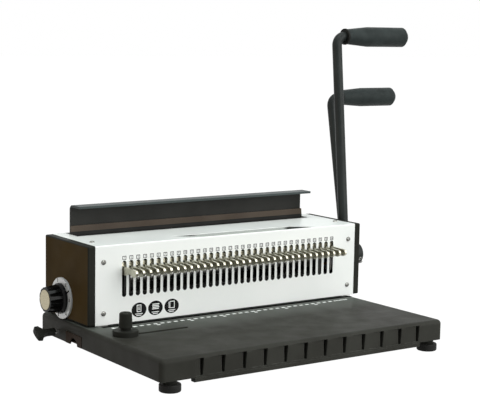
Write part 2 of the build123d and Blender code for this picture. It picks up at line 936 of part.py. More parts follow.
# Hook comb and its side channels
hook_comb = slab((-comb_half, comb_half), (comb_front, comb_back), (comb_low, comb_high))
finger_side = [(comb_front - finger_reach * y, comb_low + comb_tall * z) for y, z in finger_shares]
for x in hole_xs:
    hook_comb += profile_x(finger_side, (x - finger_thick / 2, x + finger_thick / 2))
comb_guides = []
for side in sides:
    channel = slab(both(side, channel_in, frame_in), (sheet, channel_back), (channel_low, channel_high))
    channel -= slab(
        both(side, channel_in - overrun, channel_floor),
        (channel_front_lip, channel_back_lip),
        (channel_low - overrun, channel_high + overrun),
    )
    comb_guides.append(channel)


# Handles
def handle_rod(x, pivot, top, end):
    lean_y = top[0] - pivot[0]
    lean_z = top[1] - pivot[1]
    share = rod_start / math.hypot(lean_y, lean_z)
    start = (x, pivot[0] + lean_y * share, pivot[1] + lean_z * share)
    path = FilletPolyline(start, (x, top[0], top[1]), (end, top[0], top[1]), radius=rod_bend)
    return sweep(Plane(path @ 0, z_dir=path % 0) * Circle(rod_r), path=path)


def handle_grip(inner, outer, radius, y, z):
    body = turned_x(
        [
            (inner, 0), (inner, grip_neck_r), (inner + grip_taper, radius),
            (outer - grip_dome, radius), (outer, grip_dome_r), (outer, 0),
        ],
        y, z,
    )
    body = fillet(body.edges().filter_by(GeomType.CIRCLE).sort_by(Axis.X)[-1], grip_dome - overrun)
    body -= round_x(y, z, rod_r + slip, (inner - overrun, outer - grip_dome))
    return body


def handle_collar(inner, y, z):
    ring = round_x(y, z, collar_r, (inner - collar_wide, inner))
    ring = fillet(ring.edges(), overrun)
    return ring - round_x(y, z, rod_r + slip, (inner - collar_wide - overrun, inner + overrun))


def handle_hub(y, z, radius, x, shaft_end, rod_x, top):
    hub = round_x(y, z, radius, x)
    hub = fillet(hub.edges().sort_by(Axis.X)[-1], overrun)
    hub -= round_x(y, z, shaft_r, (x[0] - overrun, shaft_end))
    lean = math.degrees(math.atan2(top[0] - y, top[1] - z))
    socket = Rot(-lean, 0, 0) * Pos(0, 0, rod_start + radius) * Cylinder(rod_r + slip, 2 * radius)
    return hub - Pos(rod_x, y, z) * socket


punch_rod = handle_rod(
    punch_rod_x, (punch_y, punch_z), punch_top, punch_grip_out - grip_dome - rod_end_inside
)
punch_grip = handle_grip(punch_grip_in, punch_grip_out, grip_r, punch_top[0], punch_top[1])
punch_collar = handle_collar(punch_grip_in, punch_top[0], punch_top[1])
punch_hub = handle_hub(
    punch_y, punch_z, punch_hub_r, (punch_hub_in, punch_hub_out), punch_shaft_right, punch_rod_x, punch_top
)
closing_rod = handle_rod(
    close_rod_x, (close_y, close_z), close_top, close_grip_out - grip_dome - rod_end_inside
)
closing_grip = handle_grip(close_grip_in, close_grip_out, close_grip_r, close_top[0], close_top[1])
closing_collar = handle_collar(close_grip_in, close_top[0], close_top[1])
closing_hub = handle_hub(
    close_y, close_z, close_hub_r, (punch_hub_in, close_hub_out), close_shaft_right, close_rod_x, close_top
)

# Closing size dial
size_scale = round_x(dial_y, dial_z, scale_r, (-cap_out - scale_thick, -cap_out))
size_scale -= round_x(dial_y, dial_z, spindle_r + play, (-cap_out - scale_thick - overrun, 0))
size_knob = turned_x(
    [
        (-knob_in, 0), (-knob_in, skirt_r), (-knob_in - skirt_wide, skirt_r),
        (-knob_in - skirt_wide - skirt_slope, knob_inner_r), (-knob_out, knob_outer_r), (-knob_out, 0),
    ],
    dial_y, dial_z,
)
for i in range(flute_count):
    turn = math.radians(360 / flute_count * i)
    size_knob -= round_x(
        dial_y + flute_ring * math.cos(turn),
        dial_z + flute_ring * math.sin(turn),
        flute_r,
        (-knob_out - overrun, -knob_in - skirt_wide - flute_stop),
    )
size_knob -= round_x(dial_y, dial_z, spindle_r, (-spindle_out, 0))
size_knob -= round_x(
    dial_y, dial_z, knob_cap_r, (-knob_out - overrun, -knob_out + knob_cap_thick - knob_cap_proud)
)
size_knob_cap = round_x(
    dial_y, dial_z, knob_cap_r, (-knob_out - knob_cap_proud, -knob_out + knob_cap_thick - knob_cap_proud)
)
size_spindle = round_x(dial_y, dial_z, spindle_r, (-spindle_out, -spindle_in))
cam_shape = []
for i in range(cam_points):
    turn = 2 * math.pi * i / cam_points
    radius = cam_small + (cam_large - cam_small) * i / cam_points
    cam_shape.append((dial_y + radius * math.cos(turn), dial_z + radius * math.sin(turn)))
size_cam = profile_x(cam_shape, (-cam_out, -cam_in))
size_cam -= round_x(dial_y, dial_z, spindle_r, (-cam_out - overrun, -cam_in + overrun))

# Margin lever, its rocker spindle and the depth stop
upper = [(-lever_in - lever_long * x, lever_half * z) for x, z in lever_shares]
lower = [(x, -z) for x, z in reversed(upper[:-1])]
blade_face = make_face(Polyline(*(upper + lower), close=True))
blade = extrude(blade_face, amount=lever_thick / 2, both=True)
blade = fillet(blade.edges().filter_by(Axis.Z).sort_by(Axis.X)[:4], lever_soft)
margin_lever = Pos(0, margin_y, margin_z) * Rot(lever_tilt, 0, 0) * blade
margin_lever -= round_x(margin_y, margin_z, margin_r, (-margin_left, 0))
margin_spindle = round_x(margin_y, margin_z, margin_r, (-margin_left, margin_right))
depth_stop = slab((-stop_half, stop_half), (stop_front, stop_back), (stop_low, stop_high))
for side in sides:
    margin_spindle += arm(
        both(side, rocker_in, rocker_out),
        (margin_y, margin_z), (margin_y, rocker_z),
        rocker_boss_r, rocker_eye_r,
    )
    margin_spindle += round_x(margin_y, rocker_z, rocker_pin_r, both(side, rocker_pin_in, rocker_in))
    depth_stop += slab(
        both(side, stop_arm_in, rocker_out), (stop_front, margin_y + link_half), (stop_low, stop_high)
    )
    depth_stop += slab(
        both(side, link_x, link_out),
        (margin_y - link_half, margin_y + link_half),
        (rocker_z - link_foot, stop_high),
    )
    slot_half = rocker_pin_r + link_slot_clear
    depth_stop -= slab(
        both(side, link_x - overrun, link_out + overrun),
        (margin_y - slot_half, margin_y + slot_half),
        (rocker_z - link_foot - overrun, rocker_z + slot_half),
    )

# Edge stop with its clamp knob
disc_top = edge_lift + edge_disc_thick
edge_disc = round_z(edge_x, edge_y, edge_disc_r, (edge_lift, disc_top))
edge_disc = fillet(edge_disc.edges().sort_by(Axis.Z)[-1], edge_soft)
edge_disc -= round_z(edge_x, edge_y, stud_r, (0, disc_top + overrun))
stud_top = disc_top + stud_rise
nut_top = -base_wall - nut_drop
edge_stud = round_z(edge_x, edge_y, stud_r, (nut_top - nut_thick, stud_top))
edge_stud += slab(
    (edge_x - nut_half, edge_x + nut_half),
    (edge_y - nut_half, edge_y + nut_half),
    (nut_top - nut_thick, nut_top),
)
knob_low = disc_top + knob_gap
knob_high = knob_low + knob_height
edge_knob = turned_z(
    [
        (0, knob_low), (knob_foot_r, knob_low), (knob_foot_r, knob_low + knob_foot),
        (knob_low_r, knob_low + knob_foot + knob_lead), (knob_top_r, knob_high - knob_crown),
        (knob_top_r - knob_crown, knob_high), (knob_dimple_r, knob_high),
        (knob_dimple_r - knob_dimple, knob_high - knob_dimple), (0, knob_high - knob_dimple),
    ],
    edge_x, edge_y,
)
edge_knob -= round_z(edge_x, edge_y, stud_r + running, (knob_low - overrun, stud_top + play))

# Chip tray
chip_tray = slab((-tray_left, tray_right), (tray_front, tray_back), (tray_low, tray_top))
chip_tray -= slab(
    (-tray_left, tray_right - tray_wall),
    (tray_front + tray_wall, tray_back - tray_wall),
    (tray_low + tray_wall, tray_top + overrun),
)
chip_tray += slab((-tray_end, -tray_left), (tray_end_front, tray_end_back), (tray_end_low, tray_end_top))
chip_tray -= round_x(arch_y, arch_z, arch_r, (-tray_end - overrun, -tray_left + overrun))

# Return springs
punch_springs = []
closing_springs = []
for side in sides:
    punch_springs.append(
        spring(side * guide_x, hole_y, stripper_top, ear_low, punch_spring_r, punch_spring_turns)
    )
    closing_springs.append(spring(side * post_x, post_y, 0, block_low, close_spring_r, close_spring_turns))

parts = {
    "base_table": base_table,
    "die_seat": die_seat,
    "foot_bosses": foot_bosses,
    "margin_bearings": margin_bearings,
    "bottom_plate": bottom_plate,
    "front_lip": front_lip,
    "foot_posts": foot_posts,
    "foot_bumpers": foot_bumpers,
    "foot_screws": foot_screws,
    "front_cover": front_cover,
    "rear_cover": rear_cover,
    "left_end_cap": end_caps[0],
    "right_end_cap": end_caps[1],
    "left_side_frame": side_frames[0],
    "right_side_frame": side_frames[1],
    "cover_screws": cover_screws,
    "shaft_bushes": shaft_bushes,
    "lower_die": lower_die,
    "punch_guide": punch_guide,
    "punch_guide_pins": guide_pins,
    "comb_guides": comb_guides,
    "spine_guide": spine_guide,
    "guide_rods": guide_rods,
    "rod_brackets": rod_brackets,
    "size_scale": size_scale,
    "punch_springs": punch_springs,
    "closing_springs": closing_springs,
    "punch_shaft": punch_shaft,
    "punch_hub": punch_hub,
    "punch_rod": punch_rod,
    "punch_collar": punch_collar,
    "punch_grip": punch_grip,
    "punch_bar": punch_bar,
    "punch_pins": punch_pins,
    "closing_shaft": closing_shaft,
    "stop_finger": stop_finger,
    "closing_hub": closing_hub,
    "closing_rod": closing_rod,
    "closing_collar": closing_collar,
    "closing_grip": closing_grip,
    "closing_jaw": closing_jaw,
    "jaw_yokes": jaw_yokes,
    "jaw_bushes": jaw_bushes,
    "hook_comb": hook_comb,
    "size_knob": size_knob,
    "size_knob_cap": size_knob_cap,
    "size_spindle": size_spindle,
    "size_cam": size_cam,
    "margin_lever": margin_lever,
    "margin_spindle": margin_spindle,
    "depth_stop": depth_stop,
    "edge_stop_disc": edge_disc,
    "edge_stop_stud": edge_stud,
    "edge_stop_knob": edge_knob,
    "chip_tray": chip_tray,
}

shift = Pos(-origin[0], -origin[1], -origin[2])
for name, shape in parts.items():
    pieces = shape if isinstance(shape, list) else [shape]
    placed = [solid for piece in pieces for solid in (shift * piece).solids()]
    whole = placed[0] if len(placed) == 1 else Compound(children=placed)
    export_step(whole, os.path.join("parts", name + ".step"))
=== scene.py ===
import bmesh
import bpy
import math
from mathutils import Matrix, Vector


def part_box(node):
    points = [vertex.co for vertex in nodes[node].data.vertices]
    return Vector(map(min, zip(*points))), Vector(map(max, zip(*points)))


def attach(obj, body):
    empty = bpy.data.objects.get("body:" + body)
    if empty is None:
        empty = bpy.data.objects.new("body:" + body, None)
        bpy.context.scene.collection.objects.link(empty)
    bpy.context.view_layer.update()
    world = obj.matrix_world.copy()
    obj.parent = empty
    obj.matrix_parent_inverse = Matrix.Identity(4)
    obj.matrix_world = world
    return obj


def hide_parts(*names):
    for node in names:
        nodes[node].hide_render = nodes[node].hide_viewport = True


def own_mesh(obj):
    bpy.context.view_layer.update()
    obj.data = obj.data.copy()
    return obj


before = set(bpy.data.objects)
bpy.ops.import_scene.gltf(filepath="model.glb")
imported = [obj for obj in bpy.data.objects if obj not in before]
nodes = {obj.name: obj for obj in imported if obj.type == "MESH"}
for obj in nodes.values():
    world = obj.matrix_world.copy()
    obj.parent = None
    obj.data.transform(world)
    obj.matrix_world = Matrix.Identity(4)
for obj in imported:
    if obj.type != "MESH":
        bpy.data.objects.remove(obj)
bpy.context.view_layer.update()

# Places are in millimetres from the middle of the panel's foot line, at table height
MM = 0.001
X, Y, Z = 0, 1, 2
RIGHT = Vector((1, 0, 0))
INTO = Vector((0, 1, 0))
UP = Vector((0, 0, 1))
panel_low, panel_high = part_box("front_cover")
table_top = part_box("base_table")[1].z
origin = Vector(((panel_low.x + panel_high.x) / 2, panel_low.y, table_top))


def place(x, y, z):
    return origin + Vector((x, y, z)) * MM


def middle(node):
    low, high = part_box(node)
    return ((low + high) / 2 - origin) / MM


def low_of(node):
    return (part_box(node)[0] - origin) / MM


def high_of(node):
    return (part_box(node)[1] - origin) / MM


# Shader building: lengths are millimetres, and shares run from nought to one
class Finish:
    bevel_samples = 4
    # How far the rounded normal agrees with the flat one, off an edge and on it
    off_edge, on_edge = 0.985, 0.86
    # A normal's part along an axis, on faces that look along it and across it
    looks_along, looks_across = 0.7, 0.4

    def __init__(self, name):
        self.material = bpy.data.materials.new(name)
        self.material.use_nodes = True
        self.nodes = self.material.node_tree.nodes
        self.links = self.material.node_tree.links
        self.surface = self.nodes["Principled BSDF"]
        self.place = self.nodes.new("ShaderNodeTexCoord").outputs["Object"]

    def join(self, source, target):
        self.links.new(source, target)

    def number(self, operation, first, second=0.0):
        node = self.nodes.new("ShaderNodeMath")
        node.operation = operation
        for socket, value in zip(node.inputs, (first, second)):
            if isinstance(value, (int, float)):
                socket.default_value = value
            else:
                self.join(value, socket)
        return node.outputs[0]

    def product(self, first, *others):
        for other in others:
            first = self.number("MULTIPLY", first, other)
        return first

    def vector(self, operation, first, second=None):
        node = self.nodes.new("ShaderNodeVectorMath")
        node.operation = operation
        self.join(first, node.inputs[0])
        if isinstance(second, Vector):
            node.inputs[1].default_value = second
        elif second is not None:
            self.join(second, node.inputs[1])
        return node.outputs

    def scaled(self, factors, source=None):
        node = self.nodes.new("ShaderNodeMapping")
        node.inputs["Scale"].default_value = factors
        self.join(source or self.place, node.inputs["Vector"])
        return node.outputs[0]

    def noise(self, size, detail=3.0, source=None):
        node = self.nodes.new("ShaderNodeTexNoise")
        node.inputs["Scale"].default_value = 1 / (size * MM)
        node.inputs["Detail"].default_value = detail
        self.join(source or self.place, node.inputs["Vector"])
        return node.outputs["Fac"]

    def cells(self, size):
        node = self.nodes.new("ShaderNodeTexVoronoi")
        node.inputs["Scale"].default_value = 1 / (size * MM)
        self.join(self.place, node.inputs["Vector"])
        return node.outputs["Distance"]

    def spread(self, value, low, high, to_low=0.0, to_high=1.0):
        node = self.nodes.new("ShaderNodeMapRange")
        node.inputs["From Min"].default_value = low
        node.inputs["From Max"].default_value = high
        node.inputs["To Min"].default_value = to_low
        node.inputs["To Max"].default_value = to_high
        self.join(value, node.inputs["Value"])
        return node.outputs[0]

    def between(self, share, first, second):
        node = self.nodes.new("ShaderNodeMix")
        node.data_type = "RGBA"
        self.join(share, node.inputs["Factor"])
        for socket, value in ((node.inputs[6], first), (node.inputs[7], second)):
            if isinstance(value, tuple):
                socket.default_value = (*value, 1.0)
            else:
                self.join(value, socket)
        return node.outputs[2]

    def flat_normal(self):
        return self.nodes.new("ShaderNodeNewGeometry").outputs["Normal"]

    def rounded(self, radius):
        node = self.nodes.new("ShaderNodeBevel")
        node.samples = self.bevel_samples
        node.inputs["Radius"].default_value = radius * MM
        return node.outputs[0]

    def edges(self, normal):
        agreement = self.vector("DOT_PRODUCT", normal, self.flat_normal())["Value"]
        return self.spread(agreement, self.off_edge, self.on_edge)

    def part(self, vector, axis):
        node = self.nodes.new("ShaderNodeSeparateXYZ")
        self.join(vector, node.inputs[0])
        return node.outputs[axis]

    def along(self, axis, start, end):
        # Nought up to start and one from end on, both measured from the origin on one axis
        ends = [origin[axis] + at * MM for at in (start, end)]
        return self.spread(self.part(self.place, axis), *ends)

    def across(self, axis):
        # One on faces that look across the axis, nought on those that look along it
        turned = self.number("ABSOLUTE", self.part(self.flat_normal(), axis))
        return self.spread(turned, self.looks_along, self.looks_across)

    def relief(self, height, depth, normal=None):
        node = self.nodes.new("ShaderNodeBump")
        node.inputs["Strength"].default_value = 1.0
        node.inputs["Distance"].default_value = depth * MM
        self.join(height, node.inputs["Height"])
        if normal is not None:
            self.join(normal, node.inputs["Normal"])
        return node.outputs[0]

    def colour(self, value):
        self.join(value, self.surface.inputs["Base Color"])

    def tint(self, share, value):
        # Lays another colour over the one that is there
        plain = self.surface.inputs["Base Color"].links[0].from_socket
        self.colour(self.between(share, plain, value))

    def rough(self, value):
        self.join(value, self.surface.inputs["Roughness"])

    def shape(self, normal):
        self.join(normal, self.surface.inputs["Normal"])

    def set(self, **values):
        for name, value in values.items():
            self.surface.inputs[name.replace("_", " ")].default_value = value


def coating(name, dark, light, worn, rough, grain, grain_depth, level=0.5, edge=0.4, patch=40.0):
    # Paint or moulded plastic: cloudy tint, fine grain, edges in the worn colour
    f = Finish(name)
    rounded = f.rounded(edge)
    cloudy = f.between(f.spread(f.noise(patch, 4.0), 0.35, 0.65), dark, light)
    speck = f.between(f.spread(f.noise(grain * 2.5, 2.0), 0.58, 0.72, 0.0, 0.35), cloudy, light)
    wear = f.product(f.edges(rounded), f.spread(f.noise(6.0, 4.0), 0.35, 0.7, 0.15, 0.75))
    f.colour(f.between(wear, speck, worn))
    f.rough(f.spread(f.noise(patch * 0.6, 5.0), 0.3, 0.7, rough - 0.06, rough + 0.07))
    coarse = f.relief(f.noise(grain * 5, 2.0), grain_depth * 0.8, rounded)
    f.shape(f.relief(f.cells(grain), grain_depth, coarse))
    f.set(Specular_IOR_Level=level)
    return f


def bare_metal(name, dark, light, rough, scratch, depth, edge=0.25):
    # Metal with scratches, drawn out along the axis that has the smallest number in scratch
    f = Finish(name)
    rounded = f.rounded(edge)
    lines = f.noise(1.0, 3.0, f.scaled(scratch))
    cloud = f.noise(9.0, 4.0)
    mixed = f.number("ADD", f.number("MULTIPLY", lines, 0.5), f.number("MULTIPLY", cloud, 0.5))
    f.colour(f.between(f.spread(mixed, 0.38, 0.62), dark, light))
    f.rough(f.spread(lines, 0.25, 0.75, rough - 0.07, rough + 0.09))
    f.shape(f.relief(lines, depth, rounded))
    f.set(Metallic=1.0)
    return f


def turned_metal(name, centre, dark, light, radians_per_metre, depth, edge):
    # Metal with fine rings round an axis along X
    f = Finish(name)
    from_centre = f.vector("SUBTRACT", f.place, centre)[0]
    radius = f.vector("LENGTH", f.scaled((0.0, 1.0, 1.0), from_centre))["Value"]
    wave = f.number("SINE", f.number("MULTIPLY", radius, radians_per_metre))
    rings = f.number("ADD", wave, f.noise(2.0))
    f.colour(f.between(f.spread(rings, -0.6, 1.6), dark, light))
    f.rough(f.spread(rings, -0.6, 1.6, 0.26, 0.42))
    f.shape(f.relief(rings, depth, f.rounded(edge)))
    f.set(Metallic=0.85)
    return f


def ink(name, colour, rough=0.45, level=0.5):
    # Printed ink: slightly uneven cover and a faint screen-print grain
    f = Finish(name)
    paler = tuple(min(1.0, c * 1.18 + 0.008) for c in colour)
    f.colour(f.between(f.spread(f.noise(0.8, 4.0), 0.35, 0.7), colour, paler))
    f.rough(f.spread(f.noise(3.0), 0.3, 0.7, rough - 0.05, rough + 0.08))
    f.shape(f.relief(f.noise(0.25, 2.0), 0.006))
    f.set(Specular_IOR_Level=level)
    return f


# The table's plastic, a little paler along the back of its top: a painted reflection of the white panel
# near its foot
moulded = coating(
    "moulded_dark", (0.0255, 0.025, 0.021), (0.0335, 0.0335, 0.0285), (0.09, 0.092, 0.083),
    rough=0.5, grain=0.7, grain_depth=0.05, level=0.07, edge=1.2,
)
sheen_front, sheen_back = -62.0, -4.0
sheen_low, sheen_high = -0.6, 0.2
painted_sheen_tint = (0.17, 0.19, 0.17)
sheen_cloud = moulded.spread(moulded.noise(12.0, 3.0), 0.3, 0.7, 0.4, 0.8)
painted_sheen = moulded.product(
    moulded.along(Y, sheen_front, sheen_back), moulded.along(Z, sheen_low, sheen_high), sheen_cloud
)
# Lays the painted reflection over the plastic's colour
moulded.tint(painted_sheen, painted_sheen_tint)

# The cover's enamel, with painted shade in its trough: grey on the trough's walls and dark at its ends
enamel = coating(
    "white_enamel", (0.86, 0.88, 0.86), (0.9, 0.91, 0.89), (0.83, 0.85, 0.83),
    rough=0.34, grain=1.6, grain_depth=0.012, edge=0.6, patch=90.0,
)
body_top = high_of("front_cover").z
trough_high, trough_low = body_top - 0.3, body_top - 0.9
trough_front, trough_back = 1.6, 23.0
trough_soft = 0.3
trough_left_grey, trough_left_dark = -34.0, -44.0
trough_right_grey, trough_right_dark = 84.0, 91.0
trough_wall_shade = (0.42, 0.44, 0.42)
trough_end_shadow = (0.014, 0.016, 0.014)
trough_shade_share = enamel.product(
    enamel.along(Z, trough_high, trough_low),
    enamel.along(Y, trough_front, trough_front + trough_soft),
    enamel.along(Y, trough_back, trough_back - trough_soft),
    enamel.across(Z),
)
trough_end_shade_share = enamel.number(
    "MAXIMUM",
    enamel.along(X, trough_left_grey, trough_left_dark),
    enamel.along(X, trough_right_grey, trough_right_dark),
)
# Lays the painted shade over the enamel in the trough
enamel.tint(trough_shade_share, enamel.between(trough_end_shade_share, trough_wall_shade, trough_end_shadow))

# Painted shade darkens the punched walls of the slots
slot_band_low, slot_band_high = 24.0, 69.0
slot_band_end = 143.0
slot_band_soft = 0.5
slot_wall_shade = (0.03, 0.03, 0.028)
in_slot_shade = enamel.product(
    enamel.along(Z, slot_band_low, slot_band_low + slot_band_soft),
    enamel.along(Z, slot_band_high, slot_band_high - slot_band_soft),
    enamel.along(X, -slot_band_end, -slot_band_end + slot_band_soft),
    enamel.along(X, slot_band_end, slot_band_end - slot_band_soft),
    enamel.across(Y),
)
enamel.tint(in_slot_shade, slot_wall_shade)

# The end caps' black rims, and a brown copy of their plastic for the sides: a painted warm reflection
cap_plastic = coating(
    "cap_dark", (0.015, 0.0155, 0.013), (0.021, 0.0215, 0.018), (0.06, 0.06, 0.052),
    rough=0.5, grain=0.6, grain_depth=0.035, level=0.05, edge=0.6,
)
cap_side_reflection = coating(
    "cap_warm_reflection", (0.052, 0.033, 0.012), (0.066, 0.043, 0.016), (0.03, 0.028, 0.022),
    rough=0.6, grain=0.6, grain_depth=0.035, level=0.03, edge=0.6,
)

# The jaw's paint, with a painted highlight on the bend along its top
jaw_paint = coating(
    "jaw_dark", (0.016, 0.016, 0.014), (0.022, 0.022, 0.0195), (0.11, 0.13, 0.13),
    rough=0.42, grain=0.8, grain_depth=0.02, level=0.13, edge=0.7,
)
jaw_top = high_of("closing_jaw").z
jaw_bend_low, jaw_bend_high = jaw_top - 4.0, jaw_top - 3.0
jaw_bend_highlight = (0.048, 0.06, 0.06)
jaw_paint.tint(jaw_paint.along(Z, jaw_bend_low, jaw_bend_high), jaw_bend_highlight)

# The ramp's brown, a painted warm reflection, with painted shadow along its foot that makes it nearly black
# there
ramp_reflection = coating(
    "ramp_painted_reflection", (0.06, 0.044, 0.031), (0.078, 0.059, 0.043), (0.12, 0.1, 0.08),
    rough=0.45, grain=0.8, grain_depth=0.02, level=0.12,
)
ramp_foot, ramp_clear = 88.6, 89.2
ramp_foot_shadow = (0.009, 0.009, 0.008)
ramp_reflection.tint(ramp_reflection.along(Z, ramp_clear, ramp_foot), ramp_foot_shadow)

# Handles, feet, knob and tray
rod_paint = coating(
    "rod_black", (0.015, 0.0175, 0.017), (0.023, 0.027, 0.026), (0.09, 0.1, 0.09),
    rough=0.4, grain=1.0, grain_depth=0.03, level=0.14,
)
foam = coating(
    "grip_foam", (0.017, 0.022, 0.0215), (0.026, 0.033, 0.0325), (0.045, 0.052, 0.051),
    rough=0.5, grain=0.45, grain_depth=0.06, level=0.1, edge=0.5, patch=14.0,
)
foam.set(Sheen_Weight=0.04, Sheen_Roughness=0.4)
rubber = coating(
    "rubber_black", (0.011, 0.011, 0.01), (0.017, 0.017, 0.016), (0.05, 0.05, 0.048),
    rough=0.62, grain=0.5, grain_depth=0.04, level=0.12, edge=0.5,
)
gloss = coating(
    "gloss_black", (0.003, 0.003, 0.003), (0.006, 0.006, 0.006), (0.07, 0.07, 0.07),
    rough=0.16, grain=1.5, grain_depth=0.004, level=0.08,
)
gloss.set(Coat_Weight=0.08, Coat_Roughness=0.08)
tray = coating(
    "tray_dark", (0.028, 0.018, 0.012), (0.04, 0.026, 0.018), (0.07, 0.06, 0.045),
    rough=0.5, grain=0.6, grain_depth=0.03, level=0.04,
)

# Metals
nickel = bare_metal(
    "nickel", (0.42, 0.41, 0.33), (0.6, 0.58, 0.48),
    rough=0.27, scratch=(0.25, 1.0, 2.2), depth=0.012, edge=0.35,
)
steel = bare_metal(
    "steel", (0.5, 0.5, 0.48), (0.68, 0.68, 0.66), rough=0.3, scratch=(0.12, 2.0, 2.0), depth=0.01
)
oiled = bare_metal(
    "oiled_steel", (0.03, 0.03, 0.03), (0.06, 0.06, 0.058), rough=0.42, scratch=(0.12, 2.0, 2.0), depth=0.01
)
bronze = bare_metal(
    "bronze", (0.5, 0.34, 0.16), (0.64, 0.46, 0.24), rough=0.36, scratch=(2.0, 0.6, 0.6), depth=0.01
)
bright = bare_metal(
    "screw_steel", (0.16, 0.16, 0.15), (0.34, 0.34, 0.32), rough=0.26, scratch=(1.0, 1.0, 1.0), depth=0.006
)
scale_metal = coating(
    "silver_scale", (0.66, 0.68, 0.69), (0.76, 0.78, 0.79), (0.85, 0.85, 0.82),
    rough=0.34, grain=0.5, grain_depth=0.006, edge=0.3,
)
scale_metal.set(Metallic=0.25)
dial_at = middle("size_scale")
spun = turned_metal(
    "cap_silver", place(*dial_at), (0.36, 0.32, 0.21), (0.5, 0.45, 0.32),
    radians_per_metre=14000.0, depth=0.01, edge=0.3,
)

# Printing
ink_black = ink("ink_black", (0.008, 0.008, 0.008), rough=0.35, level=0.06)
ink_grey = ink("ink_grey", (0.05, 0.05, 0.055), rough=0.8, level=0.1)
ink_white = ink("ink_white", (0.82, 0.84, 0.82))
# Black for printing, also laid as a painted shadow along the throat
black_ink_and_shade = ink("black_ink_and_painted_shade", (0.004, 0.004, 0.004), rough=0.9, level=0.0)

# Which CAD nodes have which finish
for finish, members in (
    (moulded, ("base_table", "die_seat", "foot_bosses", "margin_bearings", "front_lip")),
    (enamel, ("front_cover",)),
    (cap_plastic, (
        "left_end_cap", "right_end_cap", "foot_posts", "margin_lever", "edge_stop_disc", "edge_stop_knob",
    )),
    (jaw_paint, ("closing_jaw", "rear_cover")),
    (ramp_reflection, ("spine_guide",)),
    (rod_paint, ("punch_hub", "punch_rod", "closing_hub", "closing_rod")),
    (foam, ("punch_grip", "closing_grip")),
    (nickel, ("hook_comb",)),
    (steel, (
        "bottom_plate", "left_side_frame", "right_side_frame", "foot_screws", "punch_guide_pins",
        "guide_rods", "rod_brackets", "punch_springs", "closing_springs", "punch_shaft", "punch_pins",
        "closing_shaft", "stop_finger", "size_spindle", "size_cam", "margin_spindle", "depth_stop",
        "edge_stop_stud",
    )),
    (oiled, ("lower_die", "punch_guide", "comb_guides", "punch_bar", "jaw_yokes")),
    (bronze, ("shaft_bushes", "jaw_bushes")),
    (rubber, ("foot_bumpers", "punch_collar", "closing_collar")),
    (bright, ("cover_screws",)),
    (scale_metal, ("size_scale",)),
    (gloss, ("size_knob",)),
    (spun, ("size_knob_cap",)),
    (tray, ("chip_tray",)),
):
    for member in members:
        nodes[member].data.materials.clear()
        nodes[member].data.materials.append(finish.material)

# The outermost faces of the end caps get the brown copy, the painted warm reflection
side_facing = 0.95
side_depth = 0.01
for cap_name in ("left_end_cap", "right_end_cap"):
    cap = nodes[cap_name].data
    cap.materials.append(cap_side_reflection.material)
    outermost = max(abs(vertex.co.x - origin.x) for vertex in cap.vertices)
    for polygon in cap.polygons:
        on_side = abs(polygon.center.x - origin.x) > outermost - side_depth * MM
        if abs(polygon.normal.x) > side_facing and on_side:
            polygon.material_index = 1


# Piece building
def new_piece(name, bm, finish, body):
    bmesh.ops.recalc_face_normals(bm, faces=bm.faces)
    mesh = bpy.data.meshes.new(name)
    bm.to_mesh(mesh)
    bm.free()
    piece = bpy.data.objects.new(name, mesh)
    bpy.context.scene.collection.objects.link(piece)
    mesh.materials.append(finish.material)
    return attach(piece, body)


def plate(bm, corners, deep_by):
    # A thin closed plate: its outline, then the same outline moved by deep_by
    front = [bm.verts.new(corner) for corner in corners]
    back = [bm.verts.new(corner + deep_by) for corner in corners]
    bm.faces.new(front)
    bm.faces.new(list(reversed(back)))
    count = len(corners)
    for i in range(count):
        after = (i + 1) % count
        bm.faces.new([front[i], back[i], back[after], front[after]])


def frame_plate(bm, outer, inner, deep_by):
    # A thin closed ring between two outlines of the same count
    rings = []
    for line in (outer, inner):
        for move in (Vector(), deep_by):
            rings.append([bm.verts.new(point + move) for point in line])
    count = len(outer)
    for i in range(count):
        after = (i + 1) % count
        for a, b in ((0, 1), (1, 3), (3, 2), (2, 0)):
            bm.faces.new([rings[a][i], rings[a][after], rings[b][after], rings[b][i]])


def corners_of(half_wide, half_high):
    # The corners of a rectangle about its middle, in turn
    return [(sx * half_wide, sy * half_high) for sx, sy in ((-1, -1), (1, -1), (1, 1), (-1, 1))]


def hollow_box(bm, x, face, z, half_wide, half_high, line):
    # A printed rectangle on the panel, drawn with one line
    outer = [place(x + a, face, z + b) for a, b in corners_of(half_wide, half_high)]
    inner = [place(x + a, face, z + b) for a, b in corners_of(half_wide - line, half_high - line)]
    frame_plate(bm, outer, inner, ink_deep)


def round_line(centre, half_wide, half_high, across, up, count=48):
    turns = [2 * math.pi * i / count for i in range(count)]
    return [
        centre + (across * math.cos(t) * half_wide + up * math.sin(t) * half_high) * MM for t in turns
    ]


def turn_shape(bm, profile, spot, count=32):
    # A closed turned shape: radius and height pairs, from one end of its axis to the other
    rings = []
    for radius, height in profile:
        if radius == 0:
            rings.append([bm.verts.new(spot @ Vector((0, 0, height)))])
            continue
        turns = [2 * math.pi * i / count for i in range(count)]
        ring = [Vector((radius * math.cos(t), radius * math.sin(t), height)) for t in turns]
        rings.append([bm.verts.new(spot @ point) for point in ring])
    for first, second in zip(rings, rings[1:]):
        for i in range(count):
            after = (i + 1) % count
            if len(first) == 1:
                bm.faces.new([first[0], second[i], second[after]])
            elif len(second) == 1:
                bm.faces.new([first[i], first[after], second[0]])
            else:
                bm.faces.new([first[i], first[after], second[after], second[i]])


def facing(centre, out):
    # Millimetres to scene, with the local Z axis turned to out
    turned = out.to_track_quat("Z", "Y").to_matrix().to_4x4()
    return Matrix.Translation(centre) @ turned @ Matrix.Scale(MM, 4)


